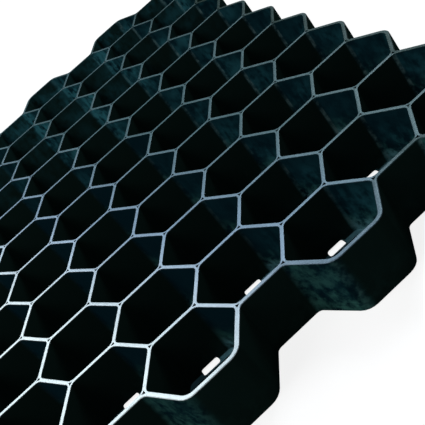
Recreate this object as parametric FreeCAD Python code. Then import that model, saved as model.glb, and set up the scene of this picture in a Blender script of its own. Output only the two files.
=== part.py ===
import FreeCAD, Part
import math
import os

# Driving dimensions, in millimetres and degrees

cell_pitch = 55.4           # between the middles of two opposite walls of a cell
columns = 8                 # columns of cells, side by side along X
cells_per_column = 10       # cells in each column, one after another along Y
height = 38.0
wall = 2.4                  # walls between cells, measured at the rim
outer_wall = 2.8            # walls round the outside, measured at the rim
draft = 0.5                 # taper of every cell, so that the walls thicken downwards
cell_corner_flat = 2.2      # width of the flat that breaks each corner of a cell
free_corner_radius = 10.0   # outside corners of the outline
notch_corner_radius = 4.0   # corners of the outline that lie between two cells
foot_width = 3.8            # ledge that stands out from the foot of the walls into each cell
foot_thickness = 2.0
slot_length = 12.0          # drain slot through the foot of a wall, along that wall
slot_edge = 1.1             # strip of ledge left outside a slot
slot_rise = 2.2             # how far a slot goes up into the wall above the ledge
recess_wall = 1.1           # plastic left between a junction's recess and the cells
recess_depth = 6.0

# Sizes that follow from them

cell_side = cell_pitch / math.sqrt(3)
draft_inset = (height - foot_thickness) * math.tan(math.radians(draft))
rim_apothem = (cell_pitch - wall) / 2
ledge_apothem = rim_apothem - draft_inset
window_apothem = ledge_apothem - foot_width
outline_offset = outer_wall - wall / 2
slot_width = cell_pitch - 2 * (window_apothem + slot_edge)
junction_radius = (wall + cell_corner_flat / 2) / math.sqrt(3)
recess_apothem = junction_radius - recess_wall

up = FreeCAD.Vector(0, 0, 1)
half_wall = FreeCAD.Vector(cell_side / 2, 0, 0)    # from the middle of a wall along X to its end
half_cell = FreeCAD.Vector(0, cell_pitch / 2, 0)   # from the middle of a cell to a wall along X
cell_tip = FreeCAD.Vector(cell_side, 0, 0)         # from the middle of a cell to its outermost corner


def cell_centre(column, cell):
    x = (column - (columns - 1) / 2) * 1.5 * cell_side
    shift = 0.5 if column % 2 == 0 else 0.0
    y = (cell + shift - (cells_per_column - 0.5) / 2) * cell_pitch
    return FreeCAD.Vector(x, y, 0)


def polygon_points(centre, apothem, sides, first_angle=0.0):
    reach = apothem / math.cos(math.pi / sides)
    angles = [first_angle + 2 * math.pi * k / sides for k in range(sides)]
    return [centre + FreeCAD.Vector(reach * math.cos(a), reach * math.sin(a), 0) for a in angles]


def closed_polygon(points):
    return Part.makePolygon(points + points[:1])


def corner_directions(points, k):
    into = points[k] - points[k - 1]
    out = points[(k + 1) % len(points)] - points[k]
    return into.normalize(), out.normalize()


# Outline of the whole panel

def outline_middle_line():
    # Middle of the outermost walls, counter-clockwise from the left end of the near side
    near, right, far, left = [], [], [], []
    for column in range(columns):
        first = cell_centre(column, 0) - half_cell
        last = cell_centre(column, cells_per_column - 1) + half_cell
        near += [first - half_wall, first + half_wall]
        far = [last + half_wall, last - half_wall] + far
    for cell in range(cells_per_column):
        on_right = cell_centre(columns - 1, cell)
        on_left = cell_centre(0, cell)
        if cell > 0:
            right.append(on_right - half_cell + half_wall)
            left.insert(0, on_left - half_cell - half_wall)
        right.append(on_right + cell_tip)
        left.insert(0, on_left - cell_tip)
    return near + right + far + left


def outline_wire():
    # Free corners turn left and get the large radius, corners between two cells turn right
    middle_line = outline_middle_line()
    corners = []
    for k, point in enumerate(middle_line):
        into, out = corner_directions(middle_line, k)
        normal_in = into.cross(up)
        normal_out = out.cross(up)
        outward = (normal_in + normal_out) / (1 + normal_in.dot(normal_out))
        corner = point + outward * outline_offset
        free = into.cross(out).z > 0
        radius = free_corner_radius if free else notch_corner_radius
        half_turn = into.getAngle(out) / 2
        setback = radius * math.tan(half_turn)
        inward = (out - into).normalize()
        middle = corner + inward * radius * (1 / math.cos(half_turn) - 1)
        corners.append((corner - into * setback, middle, corner + out * setback))
    edges = []
    for k, (start, middle, end) in enumerate(corners):
        next_start = corners[(k + 1) % len(corners)][0]
        edges.append(Part.Arc(start, middle, end).toShape())
        edges.append(Part.LineSegment(end, next_start).toShape())
    return Part.Wire(edges)


# What is cut out of it

def cell_points(centre, apothem):
    # Six long sides, with a flat across each corner
    hexagon = polygon_points(centre, apothem, 6)
    setback = cell_corner_flat / math.sqrt(3)
    points = []
    for k, corner in enumerate(hexagon):
        into, out = corner_directions(hexagon, k)
        points += [corner - into * setback, corner + out * setback]
    return points


def cell_hollow(centre):
    # Tapered above the ledge: every side is a plane that leans by the draft
    lower = cell_points(centre + up * foot_thickness, ledge_apothem)
    upper = cell_points(centre + up * height, rim_apothem)
    outlines = [lower, upper]
    for k in range(len(lower)):
        outlines.append([lower[k - 1], lower[k], upper[k], upper[k - 1]])
    faces = [Part.Face(closed_polygon(points)) for points in outlines]
    return Part.makeSolid(Part.makeShell(faces))


def ledge_window(centre):
    hexagon = closed_polygon(polygon_points(centre, window_apothem, 6))
    return Part.Face(hexagon).extrude(up * foot_thickness)


def drain_slot(wall_middle):
    corner = wall_middle - FreeCAD.Vector(slot_length / 2, slot_width / 2, 0)
    return Part.makeBox(slot_length, slot_width, foot_thickness + slot_rise, corner)


def junction_recess(corner, first_angle):
    triangle = polygon_points(corner + up * height, recess_apothem, 3, first_angle)
    return Part.Face(closed_polygon(triangle)).extrude(up * -recess_depth)


def junctions():
    # Each corner that two or three cells share, with the direction of one of its walls
    shared = {}
    for column in range(columns):
        for cell in range(cells_per_column):
            hexagon = polygon_points(cell_centre(column, cell), cell_pitch / 2, 6)
            for k, corner in enumerate(hexagon):
                place = (round(corner.x, 3), round(corner.y, 3))
                shared.setdefault(place, []).append((corner, k % 2 * math.pi))
    return [cells[0] for cells in shared.values() if len(cells) > 1]


def honeycomb_panel():
    block = Part.Face(outline_wire()).extrude(up * height)
    cutters = [junction_recess(corner, angle) for corner, angle in junctions()]
    for column in range(columns):
        for cell in range(cells_per_column):
            centre = cell_centre(column, cell)
            cutters += [cell_hollow(centre), ledge_window(centre)]
            if cell > 0:
                cutters.append(drain_slot(centre - half_cell))
    return block.cut(cutters)


panel = honeycomb_panel()
os.makedirs("parts", exist_ok=True)
panel.exportStep("parts/honeycomb_panel.step")
box = panel.BoundBox
print("honeycomb_panel:", len(panel.Solids), "solid, valid", panel.isValid(), round(panel.Volume), "mm3")
print("size:", round(box.XLength, 2), round(box.YLength, 2), round(box.ZLength, 2), "mm")
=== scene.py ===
import math
import bpy
from mathutils import Matrix, Vector, noise


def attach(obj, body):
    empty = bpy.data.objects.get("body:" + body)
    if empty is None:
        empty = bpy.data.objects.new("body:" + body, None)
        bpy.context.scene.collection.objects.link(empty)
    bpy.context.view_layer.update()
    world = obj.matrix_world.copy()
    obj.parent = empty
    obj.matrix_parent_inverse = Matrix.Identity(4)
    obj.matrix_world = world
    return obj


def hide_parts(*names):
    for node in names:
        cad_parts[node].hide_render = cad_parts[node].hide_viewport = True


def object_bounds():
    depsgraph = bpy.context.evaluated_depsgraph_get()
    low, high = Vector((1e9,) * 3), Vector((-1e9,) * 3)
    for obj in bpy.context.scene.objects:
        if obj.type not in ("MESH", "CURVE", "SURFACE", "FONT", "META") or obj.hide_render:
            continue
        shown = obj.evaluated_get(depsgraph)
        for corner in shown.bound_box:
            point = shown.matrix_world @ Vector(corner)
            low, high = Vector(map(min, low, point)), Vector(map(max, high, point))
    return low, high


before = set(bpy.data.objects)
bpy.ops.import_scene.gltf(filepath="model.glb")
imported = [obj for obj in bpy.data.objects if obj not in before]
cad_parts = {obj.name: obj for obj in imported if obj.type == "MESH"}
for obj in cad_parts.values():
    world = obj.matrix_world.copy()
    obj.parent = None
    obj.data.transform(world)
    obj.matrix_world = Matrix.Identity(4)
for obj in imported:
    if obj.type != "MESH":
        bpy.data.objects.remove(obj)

cadLow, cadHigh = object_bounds()


# Panel mesh, in metres

panel = dict(
    columns=8,
    cells=10,                    # in each column
    wall=0.0024,                 # between cells, at the rim
    outerWall=0.0028,
    draft=0.5,                   # degrees
    wallLevels=(0.72, 0.4),      # rows of points in a wall, in shares of its height
    cellCornerRadius=0.0042,
    leastRadius=0.0005,          # of a cell's corner, where it narrows
    freeCornerRadius=0.010,      # outside corners
    notchCornerRadius=0.004,     # outside, between two cells
    footWidth=0.0038,            # ledge round the foot of each cell
    footThickness=0.002,
    windowCornerRadius=0.004,    # of the opening inside the ledge
    slotLength=0.012,            # drain slot through the foot of a wall
    slotEdge=0.0011,             # strip of ledge outside a slot
    slotRise=0.0022,
    slotCorner=0.0013,           # radius
    recessReach=0.00165,         # from a junction to a corner of its recess
    recessDepth=0.006,
    recessEdge=0.9,              # size under its broken edge, as a share of its top
    recessTaper=0.82,            # and at its bottom
    rimRound=0.00022,            # edge radii
    outerRound=0.0006,
    footFillet=0.0009,
    ledgeRound=0.00035,
    cornerSteps=4,
    sharpAngle=52,               # degrees, edges that stay sharp
    wave=0.00035,                # uneven walls and rims, as moulded
    waveLength=0.045,
    waveSquash=0.4,              # upwards, so that the waves run up the walls
    waveSeed=7,
)
panel["height"] = cadHigh.z - cadLow.z
panel["outlineOffset"] = panel["outerWall"] - panel["wall"] / 2
panel["pitch"] = (cadHigh.y - cadLow.y - 2 * panel["outlineOffset"]) / (panel["cells"] + 0.5)
panel["side"] = panel["pitch"] / math.sqrt(3)

cellCorners = ((2, 0), (1, 1), (-1, 1), (-2, 0), (-1, -1), (1, -1))   # in half sides and half pitches
straightSides = (1, 4)     # those that run along X
slotStations = 4           # points along a slot, at its ends and where its corners begin
weldsPerMetre = 1e6        # points in the same micron are one
innerFace, borderFace, outsideFace = 0.0, 0.5, 1.0   # marks for walls between cells and round the outside


def cellKey(column, cell):
    return 3 * column, 2 * cell + (1 - column % 2)


def cornerKey(column, cell, k):
    x, y = cellKey(column, cell)
    dx, dy = cellCorners[k]
    return x + dx, y + dy


def place(key):
    x = (key[0] - 1.5 * (panel["columns"] - 1)) * panel["side"] / 2
    y = (key[1] - (panel["cells"] - 0.5)) * panel["pitch"] / 2
    return Vector((x, y))


def leftOf(direction):
    return Vector((-direction.y, direction.x))


class MeshParts:
    def __init__(self):
        self.points, self.faces, self.known = [], [], {}
        self.marks = []            # one for each face

    def point(self, xy, z):
        key = tuple(round(value * weldsPerMetre) for value in (xy.x, xy.y, z))
        if key not in self.known:
            self.known[key] = len(self.points)
            self.points.append((xy.x, xy.y, z))
        return self.known[key]

    def face(self, *corners, mark=innerFace):
        ring = [c for k, c in enumerate(corners) if c != corners[k - 1]]
        if len(ring) > 2:
            self.faces.append(ring)
            self.marks.append(mark)

    def used(self):
        # the points that faces have, and the faces in the numbers of those points
        kept = sorted({c for ring in self.faces for c in ring})
        numbers = {old: new for new, old in enumerate(kept)}
        return [self.points[c] for c in kept], [[numbers[c] for c in ring] for ring in self.faces]


def cornerArc(corner, into, out, offset, radius):
    # points round one corner of a line that runs offset to the left of the wall's middle
    leftIn, leftOut = leftOf(into), leftOf(out)
    tip = corner + (leftIn + leftOut) / (1 + leftIn.dot(leftOut)) * offset
    turn = math.atan2(into.x * out.y - into.y * out.x, into.dot(out))
    start = tip - into * radius * abs(math.tan(turn / 2))
    centre = start + leftIn * math.copysign(radius, turn)
    steps = panel["cornerSteps"]
    return [centre + Matrix.Rotation(turn * k / steps, 2) @ (start - centre) for k in range(steps + 1)]


def bentLine(corner, into, out, straight):
    # from one wall's middle line to the next, straight across or by way of the junction
    steps, reach = panel["cornerSteps"], panel["recessReach"]
    start, end = corner - into * reach, corner + out * reach
    if straight:
        return [start.lerp(end, k / steps) for k in range(steps + 1)]
    half = steps // 2
    inward = [start.lerp(corner, k / half) for k in range(half)]
    return inward + [corner.lerp(end, k / half) for k in range(half + 1)]


def cornerLean(radius):
    # how far the middle of a quarter round stands back from each of its sides
    return radius * (1 - math.sqrt(0.5))


def roundedEdge(offset, z, size):
    lean = cornerLean(size)
    return [(offset - size, z), (offset - lean, z - lean), (offset, z - size)]


def cellRows():
    # each row is a distance from the wall's middle and a height, from the rim down and under the ledge.
    # marks has the sizes and the numbers of the rows that corners and slots go by
    p = panel
    half, height, foot = p["wall"] / 2, p["height"], p["footThickness"]
    slope = math.tan(math.radians(p["draft"]))
    ledge = half + (height - foot) * slope
    window = ledge + p["footWidth"]
    slotHalf = window - p["slotEdge"]
    slotTop = foot + p["slotRise"]
    slotSide = slotHalf - p["slotCorner"]
    fillet, low = p["footFillet"], p["ledgeRound"]
    lean = cornerLean(fillet)
    levels = [height * share for share in p["wallLevels"]] + [slotTop]
    marks = dict(half=half, window=window, slotTop=slotTop, sideTop=foot + fillet)
    rows = [("mid", height)] + roundedEdge(half, height, p["rimRound"])
    rows += [(half + (height - z) * slope, z) for z in levels]
    marks["wall"] = len(rows) - 1
    rows += [(ledge, foot + fillet), (ledge + lean, foot + lean), (ledge + fillet, foot)]
    rows += [(slotSide, foot), (slotHalf, foot)]
    marks["ledge"] = len(rows) - 1
    rows += roundedEdge(window, foot, low)
    rows += [(window, low), (window - low, 0.0), (slotHalf, 0.0)]
    marks["floor"] = len(rows) - 1
    rows += [(slotSide, 0.0), ("mid", 0.0)]
    return rows, marks


def outsideRows():
    p = panel
    edge, height, low = p["outlineOffset"], p["height"], p["ledgeRound"]
    rows = [("mid", height)] + roundedEdge(edge, height, p["outerRound"])
    rows += [(edge, height * share) for share in p["wallLevels"]]
    rows += [(edge, low), (edge - low, 0.0), ("mid", 0.0)]
    return rows


def cornerRadius(offset, free, inside, marks):
    p = panel
    if free:
        middle = p["freeCornerRadius"] - p["outlineOffset"]
        return middle - offset if inside else middle + offset
    if not inside:
        return p["notchCornerRadius"] + p["outlineOffset"] - offset
    if offset > (marks["half"] + marks["window"]) / 2:
        return p["windowCornerRadius"] + marks["window"] - offset
    return max(p["cellCornerRadius"] + marks["half"] - offset, p["leastRadius"])


def sweep(mesh, corners, freeCorners, rows, marks, inside, slots, sideMarks):
    # one closed run round a cell, or round the outside, with the space that it faces on its left
    count = len(corners)
    grid = [[] for row in rows]
    slotStarts, stationMarks = [], []
    half = panel["cornerSteps"] // 2
    slotCorners = {marks["wall"]: (0, -1), marks["ledge"]: (-1, 0), marks["floor"]: (-1, 0)}
    for k, corner in enumerate(corners):
        before, after = corners[k - 1], corners[(k + 1) % count]
        into, out = (corner - before).normalized(), (after - corner).normalized()
        middle = (corner + after) / 2
        for r, (offset, z) in enumerate(rows):
            shift = 0.0 if offset == "mid" else offset
            if offset == "mid" and not freeCorners[k]:
                bend = bentLine(corner, into, out, z > 0)
            else:
                radius = cornerRadius(shift, freeCorners[k], inside, marks)
                bend = cornerArc(corner, into, out, shift, radius)
            grid[r] += [mesh.point(xy, z) for xy in bend]
            if slots[k]:
                spots = slotSpots(middle, out, shift, z, slotCorners.get(r))
                grid[r] += [mesh.point(*spot) for spot in spots]
            else:
                grid[r].append(mesh.point(middle + leftOf(out) * shift, z))
        stationMarks += [sideMarks[k - 1]] * half
        stationMarks += [sideMarks[k]] * (len(grid[0]) - len(stationMarks))
        if not freeCorners[k]:
            junctionRecess(mesh, corner, bentLine(corner, into, out, True))
        if slots[k]:
            slotStarts.append((len(grid[0]) - slotStations, middle, out))
    length = len(grid[0])
    openStations = {first + step for first, middle, out in slotStarts for step in range(slotStations - 1)}
    for r in range(len(rows) - 1):
        cutRow = marks["wall"] <= r < marks["ledge"] or marks["floor"] <= r
        for i in range(length):
            if not (cutRow and i in openStations):
                n = (i + 1) % length
                ring = grid[r][i], grid[r][n], grid[r + 1][n], grid[r + 1][i]
                mesh.face(*ring, mark=stationMarks[i])
    for first, middle, out in slotStarts:
        drainSlot(mesh, grid, first, middle, out, marks)


def slotSpots(middle, out, shift, z, rounded):
    # the ends of a slot, and where its corners begin. A rounded row is drawn in at the ends
    half, corner = panel["slotLength"] / 2, panel["slotCorner"]
    lean = cornerLean(corner)
    spots = []
    for along in (-half, corner - half, half - corner, half):
        inset = shift
        level = z
        if rounded and abs(along) == half:
            along -= math.copysign(lean, along)
            inset += rounded[0] * lean
            level += rounded[1] * lean
        spots.append((middle + out * along + leftOf(out) * inset, level))
    return spots


def drainSlot(mesh, grid, first, middle, out, marks):
    # roof, lip and ends of a slot, from one cell to the wall's middle
    wall, ledge, floor = grid[marks["wall"]], grid[marks["ledge"]], grid[marks["floor"]]
    side, under = grid[marks["ledge"] - 1], grid[marks["floor"] + 1]
    sideRows = grid[marks["wall"] + 1:marks["ledge"]]
    roof = [mesh.point(*spot) for spot in slotSpots(middle, out, 0.0, marks["slotTop"], (0, -1))]
    sideTop = [mesh.point(*spot) for spot in slotSpots(middle, out, 0.0, marks["sideTop"], None)]
    for step in range(slotStations - 1):
        i, n = first + step, first + step + 1
        mesh.face(wall[i], wall[n], roof[step + 1], roof[step])
        mesh.face(floor[i], floor[n], ledge[n], ledge[i])
    for step, turned in ((0, True), (slotStations - 1, False)):
        i = first + step
        rings = [
            [roof[step], wall[i], sideRows[0][i], sideTop[step]],
            [grid[-1][i], sideTop[step]] + [row[i] for row in sideRows] + [under[i]],
            [under[i], side[i], ledge[i], floor[i]],
        ]
        for ring in rings:
            mesh.face(*(reversed(ring) if turned else ring))


def junctionRecess(mesh, corner, edge):
    # the third of a recess that lies towards one cell
    p = panel
    top = p["height"]
    levels = [
        (1.0, top),
        (p["recessEdge"], top - p["ledgeRound"]),
        (p["recessTaper"], top - p["recessDepth"]),
    ]
    rings = [[mesh.point(corner.lerp(xy, scale), z) for xy in edge] for scale, z in levels]
    bottom = mesh.point(corner, levels[-1][1])
    for i in range(len(edge) - 1):
        for upper, lower in zip(rings, rings[1:]):
            mesh.face(lower[i], lower[i + 1], upper[i + 1], upper[i])
        mesh.face(rings[-1][i], bottom, rings[-1][i + 1])


def outsideRun(sides):
    # corners round the outside, clockwise, from the sides that only one cell has
    following = {b: a for (a, b) in sides if (b, a) not in sides}
    start = min(following)
    run = [start]
    while following[run[-1]] != start:
        run.append(following[run[-1]])
    return run


def unevenWalls(points):
    # slow waves in the walls, growing upwards from the flat foot, and rims that dip a little
    p = panel
    noise.seed_set(p["waveSeed"])
    elsewhere = Vector((7.3, 1.9, 4.1))    # keeps the dips apart from the waves
    moved = []
    for x, y, z in points:
        rise = z / p["height"]
        spot = Vector((x, y, z * p["waveSquash"])) / p["waveLength"]
        push = noise.noise_vector(spot) * p["wave"] * rise
        dip = (0.5 + 0.5 * noise.noise(spot * 0.5 + elsewhere)) * p["wave"] * rise
        moved.append((x + push.x, y + push.y, z - dip))
    return moved


def makePanel():
    p = panel
    cells = [(column, cell) for column in range(p["columns"]) for cell in range(p["cells"])]
    rings = [[cornerKey(*c, k) for k in range(6)] for c in cells]
    sides, shared = set(), {}
    for keys in rings:
        for k, key in enumerate(keys):
            sides.add((key, keys[(k + 1) % 6]))
            shared[key] = shared.get(key, 0) + 1
    rows, marks = cellRows()
    mesh = MeshParts()
    for keys in rings:
        places = [place(key) for key in keys]
        free = [shared[key] == 1 for key in keys]
        between = [(keys[(k + 1) % 6], keys[k]) in sides for k in range(6)]
        slots = [k in straightSides and between[k] for k in range(6)]
        sideMarks = [innerFace if between[k] else borderFace for k in range(6)]
        sweep(mesh, places, free, rows, marks, True, slots, sideMarks)
    run = outsideRun(sides)
    places = [place(key) for key in run]
    free = [shared[key] == 1 for key in run]
    slots, sideMarks = [False] * len(run), [outsideFace] * len(run)
    sweep(mesh, places, free, outsideRows(), marks, False, slots, sideMarks)
    points, faces = mesh.used()
    data = bpy.data.meshes.new("honeycombPanel")
    data.from_pydata(unevenWalls(points), [], faces)
    outerMark = data.attributes.new("outerWall", "FLOAT", "FACE")
    outerMark.data.foreach_set("value", mesh.marks)
    data.shade_smooth()
    data.set_sharp_from_angle(angle=math.radians(p["sharpAngle"]))
    piece = bpy.data.objects.new("honeycombPanel", data)
    bpy.context.collection.objects.link(piece)
    weighted = piece.modifiers.new("flatFacesStayFlat", "WEIGHTED_NORMAL")
    weighted.keep_sharp = True
    print("panel mesh", len(points), "points", len(faces), "faces")
    return piece


# Shader maths

class Value:
    def __init__(self, graph, socket):
        self.graph, self.socket = graph, socket

    def maths(self, operation, *values):
        return self.graph.node("ShaderNodeMath", {"operation": operation}, dict(enumerate(values)))

    def __add__(self, other):
        return self.maths("ADD", self, other)

    def __radd__(self, other):
        return self.maths("ADD", other, self)

    def __sub__(self, other):
        return self.maths("SUBTRACT", self, other)

    def __rsub__(self, other):
        return self.maths("SUBTRACT", other, self)

    def __mul__(self, other):
        return self.maths("MULTIPLY", self, other)

    def __rmul__(self, other):
        return self.maths("MULTIPLY", other, self)


class Graph:
    def __init__(self, tree):
        self.tree = tree
        tree.nodes.clear()

    def node(self, kind, settings=None, sockets=None, out=0):
        made = self.tree.nodes.new(kind)
        for name, value in (settings or {}).items():
            setattr(made, name, value)
        for name, value in (sockets or {}).items():
            if isinstance(value, Value):
                self.tree.links.new(value.socket, made.inputs[name])
            else:
                made.inputs[name].default_value = value
        return Value(self, made.outputs[out]) if made.outputs else made

    def smooth(self, value, low, high):
        settings = {"interpolation_type": "SMOOTHSTEP"}
        return self.node("ShaderNodeMapRange", settings, {0: value, 1: low, 2: high})

    def noise(self, coords, scale, detail=3.0, roughness=0.55):
        sockets = {"Vector": coords, "Scale": scale, "Detail": detail, "Roughness": roughness}
        return self.node("ShaderNodeTexNoise", {}, sockets)

    def mix(self, factor, a, b):
        return self.node("ShaderNodeMix", {"data_type": "RGBA"}, {0: factor, 6: a, 7: b}, out=2)

    def stretch(self, coords, by):
        return self.node("ShaderNodeVectorMath", {"operation": "MULTIPLY"}, {0: coords, 1: by})

    def along(self, vector, direction):
        settings = {"operation": "DOT_PRODUCT"}
        return self.node("ShaderNodeVectorMath", settings, {0: vector, 1: direction}, out="Value")


plastic = dict(
    black=(0.0058, 0.0155, 0.0130, 1),
    litSideBlack=(0.0016, 0.0098, 0.0142, 1),   # painted light: a bluer black on the sides that face the side lamp
    paintedLitTeal=(0.0200, 0.0980, 0.1190, 1),       # painted light: a thin teal film on the walls that face the side lamp
    paintedLightSide=(-0.87, -0.50, 0.0),           # the way that the walls with painted light face
    paintedLightFar=(0.0, 0.15),                    # metres along Y between which it grows
    paintedLightStart=(-0.07, 0.0),                 # along X, where it begins
    paintedLightEnd=(0.06, 0.11),                   # and where most of it ends
    paintedLightRight=(0.02, 0.10),                 # along X, where a thin painted light grows
    farLightSide=(0.0, -1.0, 0.0),               # fainter painted light on the far walls, the way they face
    farLightReach=(0.05, 0.28),                    # along Y
    dustAndLightColour=(0.040, 0.136, 0.112, 1),           # dust low on the walls, and painted light low on the sides facing the side lamp
    dustAndLightTop=0.6,                             # how high, as a share of the height
    ledgeLight=(0.110, 0.260, 0.310, 1),      # painted light on the ledge tops, and close above them on the lamp side
    footReach=0.013,                         # how high that goes
    cornerGlint=(0.090, 0.150, 0.150, 1),          # painted highlight, broken lines down the rounded corners that face one way
    glintSide=(-0.50, -0.87, 0.0),
    glintRight=(0.0, 0.17),                  # along X, where they grow
    rimDepth=0.0009,
    rimDull=(0.030, 0.070, 0.081, 1),
    rimBlue=(0.163, 0.232, 0.314, 1),
    rimPale=(0.460, 0.510, 0.515, 1),        # painted highlight, palest
    rimLightSide=(-0.94, -0.34, 0.0),            # towards the rims painted lightest
    blueReach=(-0.06, 0.09),                 # that way, where dull turns blue
    paleReach=(0.04, 0.14),                  # and blue turns pale
    darkRight=(0.06, 0.18),                  # along X, where rims are painted darker
    darkFar=(0.05, 0.20),                    # along Y
    darkBorder=(-0.02, 0.06),                # along X, on the walls round the outside
    roughness=0.46,
    specular=0.0,
    sheen=0.45,                              # steely sheen of the rubbed rims
    polish=0.45,                             # gloss of the rubbed rims
    polishRoughness=0.42,
    grain=2600.0,                            # fine moulded texture, per metre
    grainDepth=0.0001,
    grainStrength=0.3,
)


def blackPlastic(height, ledgeTop):
    q = plastic
    material = bpy.data.materials.new("blackPlastic")
    material.use_nodes = True
    g = Graph(material.node_tree)
    coords = g.node("ShaderNodeTexCoord", out="Object")
    x, y, z = (g.node("ShaderNodeSeparateXYZ", {}, {0: coords}, out=axis) for axis in "XYZ")
    facing = g.node("ShaderNodeNewGeometry", out="Normal")
    up = g.node("ShaderNodeSeparateXYZ", {}, {0: facing}, out="Z")
    outerWall = g.node("ShaderNodeAttribute", {"attribute_name": "outerWall"}, out="Fac")
    border = g.smooth(outerWall, 0.2, 0.4)       # both faces of a wall round the outside
    outside = g.smooth(outerWall, 0.6, 0.9)      # only its outer face

    broad = g.noise(coords, 14.0, 2.0)           # scales are per metre
    cloud = g.noise(coords, 24.0, 1.0)
    patch = g.noise(coords, 60.0, 4.0)
    blotch = g.noise(coords, 190.0, 4.0, 0.62)
    fine = g.noise(coords, 700.0, 5.0, 0.7)
    grain = g.noise(coords, q["grain"], 2.0)
    streak = g.noise(g.stretch(coords, (300.0, 300.0, 14.0)), 1.0)    # down the walls
    smear = g.noise(g.stretch(coords, (160.0, 160.0, 45.0)), 1.0)

    # rims: painted highlight, palest towards one corner of the panel, painted shade towards the right,
    # the far end and round the outside, and worn patches at random
    rim = g.smooth(z, height - q["rimDepth"], height - q["rimDepth"] * 0.4)
    # the painted highlight is weaker on the rounded edges that face sideways
    rim = rim * (0.4 + g.smooth(up, 0.1, 0.7) * 0.6)
    worn = g.smooth(broad * 0.3 + patch * 0.3 + fine * 0.5, 0.38, 0.72)
    toRimLight = g.along(coords, q["rimLightSide"])
    paintedRimLight = g.mix(g.smooth(toRimLight, *q["blueReach"]), q["rimDull"], q["rimBlue"])
    paintedRimLight = g.mix(g.smooth(toRimLight, *q["paleReach"]), paintedRimLight, q["rimPale"])
    # painted shade on the rims
    rimShade = g.smooth(x, *q["darkRight"]) * 0.35 + g.smooth(y, *q["darkFar"]) * 0.12
    rimShade = rimShade + border * g.smooth(x, *q["darkBorder"]) * 0.4
    rimColour = g.mix(0.25 - worn * 0.25 + rimShade, paintedRimLight, q["black"])

    # painted light on the walls: a mottled teal film on the sides that face the side lamp, fainter on the
    # far walls
    # walls that face the side lamp, where light is painted
    lampFacing = g.smooth(g.along(facing, q["paintedLightSide"]), 0.45, 0.95)
    middle = g.smooth(x, *q["paintedLightStart"]) * (1.0 - g.smooth(x, *q["paintedLightEnd"]) * 0.8)
    paintedFarLight = g.smooth(y, *q["farLightReach"]) * g.smooth(g.along(facing, q["farLightSide"]), 0.2, 0.9) * 0.42
    share = 0.01 + g.smooth(y, *q["paintedLightFar"]) * middle + g.smooth(x, *q["paintedLightRight"]) * 0.2
    share = lampFacing * share + paintedFarLight
    mottle = streak * 0.12 + smear * 0.25 + patch * 0.35 + blotch * 0.28
    uneven = 0.4 + g.smooth(cloud, 0.42, 0.62) * 1.1
    lighterLow = 2.6 - z * (1.8 / height)            # painted light grows lower down, against the shade deep in the cells
    paintedLight = g.smooth(mottle, 0.4, 0.6) * uneven * share * lighterLow
    # a lit copy of the black on the sides that face the side lamp
    colour = g.mix(lampFacing, q["black"], q["litSideBlack"])
    colour = g.mix(paintedLight, colour, q["paintedLitTeal"])

    # dust low on the walls, painted light low on the sides facing the side lamp and on the ledges
    low = 1 - g.smooth(z, ledgeTop, height * q["dustAndLightTop"])
    # ledge tops, and just above them on the lamp side, take painted light
    ledge = g.smooth(up, 0.4, 0.9) * (1 - g.smooth(z, ledgeTop * 1.1, ledgeTop * 2))
    foot = (1 - g.smooth(z, ledgeTop * 2, q["footReach"])) * lampFacing * (1 - outside) * 0.7
    speckle = g.smooth(patch * 0.4 + blotch * 0.45 + fine * 0.15, 0.42, 0.62)
    # a little dust low everywhere; painted light low on the lamp side, and at every height on its outer
    # faces
    dustAndLight = speckle * (low * 0.05 + lampFacing * (low * (0.65 - outside * 0.3) + outside * 0.36))
    colour = g.mix(dustAndLight, colour, q["dustAndLightColour"])
    colour = g.mix(ledge * (0.5 + blotch * 0.7) + foot * speckle, colour, q["ledgeLight"])

    # painted highlights down the rounded corners, then the rims over everything
    broken = g.smooth(patch * 0.3 + blotch * 0.5 + smear * 0.2, 0.42, 0.68)
    cornerLine = g.smooth(g.along(facing, q["glintSide"]), 0.94, 0.998)
    paintedGlint = cornerLine * broken * (0.05 + g.smooth(x, *q["glintRight"]) * 0.85)
    colour = g.mix(paintedGlint, colour, q["cornerGlint"])
    colour = g.mix(rim, colour, rimColour)

    relief = {"Strength": q["grainStrength"], "Distance": q["grainDepth"], "Height": grain + streak * 0.3}
    surface = {
        "Base Color": colour,
        "Roughness": q["roughness"] + patch * 0.12 + dustAndLight * 0.2,
        "Metallic": rim * q["sheen"],
        "Specular IOR Level": q["specular"],
        "Coat Weight": rim * (0.6 + worn * 0.4 - rimShade * 0.8) * q["polish"],
        "Coat Roughness": q["polishRoughness"],
        "Normal": g.node("ShaderNodeBump", {}, relief),
    }
    shader = g.node("ShaderNodeBsdfPrincipled", {}, surface)
    g.node("ShaderNodeOutputMaterial", {}, {"Surface": shader})
    return material


# Floor, light and camera

studio = dict(
    floorSize=80.0,
    floorPale=(0.90, 0.90, 0.90, 1),      # as seen
    floorDark=(0.22, 0.22, 0.22, 1),      # as it lights the panel
    floorGlow=0.86,                       # share of the floor that stays white in shadow
    skyLight=(0.16, 0.17, 0.18, 1),
    lamps=[                               # name, place, aim, width, height, watts, colour
        ("sideLamp", (-0.75, -0.22, 0.90), (0.0, -0.03, 0.0), 0.7, 0.7, 10.0, (0.95, 0.98, 1.0)),
        ("farLeftLamp", (-0.72, 1.95, 1.95), (-0.09, -0.17, 0.0), 1.0, 1.0, 42.0, (0.86, 0.94, 1.0)),
        ("rightLamp", (0.99, 1.10, 1.56), (-0.05, -0.05, 0.0), 1.0, 1.0, 48.0, (0.86, 0.94, 1.0)),
    ],
)
cameraView = dict(
    stand=(-0.0036, -0.6145, 0.2806),     # metres from the middle of the panel's underside
    heading=5.29,                         # degrees from +Y towards +X
    dip=28.77,                            # below the horizon
    roll=-40.10,
    lens=71.12,
)


def whiteRays(g):
    path = "ShaderNodeLightPath"
    rays = [g.node(path, out=name) for name in ("Is Camera Ray", "Is Glossy Ray", "Is Transmission Ray")]
    return rays[0] + rays[1] + rays[2]


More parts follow.
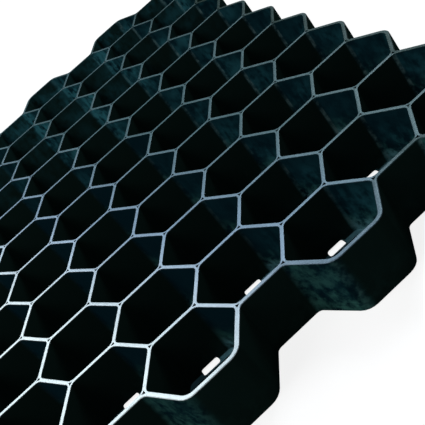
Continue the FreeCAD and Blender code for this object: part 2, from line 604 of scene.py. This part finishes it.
def makeFloor():
    bpy.ops.mesh.primitive_plane_add(size=studio["floorSize"], location=(0, 0, cadLow.z))
    floor = bpy.context.object
    floor.name = "paleFloor"
    material = bpy.data.materials.new("paleFloor")
    material.use_nodes = True
    g = Graph(material.node_tree)
    seen = whiteRays(g)
    shade = g.mix(seen, studio["floorDark"], studio["floorPale"])
    matt = g.node("ShaderNodeBsdfDiffuse", {}, {"Color": shade})
    glow = g.node("ShaderNodeEmission", {}, {"Color": (1, 1, 1, 1), "Strength": 1.0})
    both = g.node("ShaderNodeMixShader", {}, {0: seen * studio["floorGlow"], 1: matt, 2: glow})
    g.node("ShaderNodeOutputMaterial", {}, {"Surface": both})
    floor.data.materials.append(material)


def makeLight():
    world = bpy.data.worlds.new("studioWorld")
    bpy.context.scene.world = world
    world.use_nodes = True
    g = Graph(world.node_tree)
    sky = g.node("ShaderNodeBackground", {}, {"Color": studio["skyLight"], "Strength": 1.0})
    g.node("ShaderNodeOutputWorld", {}, {"Surface": sky})
    for name, stand, aim, width, height, watts, colour in studio["lamps"]:
        data = bpy.data.lights.new(name, "AREA")
        data.shape = "RECTANGLE"
        data.size, data.size_y, data.energy, data.color = width, height, watts, colour
        lamp = bpy.data.objects.new(name, data)
        lamp.location = stand
        lamp.rotation_euler = (Vector(aim) - Vector(stand)).to_track_quat("-Z", "Y").to_euler()
        bpy.context.collection.objects.link(lamp)


def makeCamera():
    heading, dip, roll = (math.radians(cameraView[name]) for name in ("heading", "dip", "roll"))
    forward = Vector((
        math.sin(heading) * math.cos(dip),
        math.cos(heading) * math.cos(dip),
        -math.sin(dip),
    ))
    level = Vector((math.cos(heading), -math.sin(heading), 0))
    upright = level.cross(forward)
    frameAxes = Matrix((level, upright, -forward)).transposed()
    turn = Matrix.Rotation(roll, 3, "Z")
    data = bpy.data.cameras.new("photoCamera")
    data.lens = cameraView["lens"]
    camera = bpy.data.objects.new("photoCamera", data)
    camera.matrix_world = Matrix.Translation(cameraView["stand"]) @ (frameAxes @ turn).to_4x4()
    bpy.context.collection.objects.link(camera)
    bpy.context.scene.camera = camera


bpy.context.scene.view_settings.view_transform = "Standard"
honeycomb = makePanel()
honeycomb.data.materials.append(blackPlastic(panel["height"], panel["footThickness"]))
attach(honeycomb, "root")
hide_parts("honeycomb_panel")
print("panel dressed")
makeFloor()
makeLight()
makeCamera()
print("floor, light and camera set")
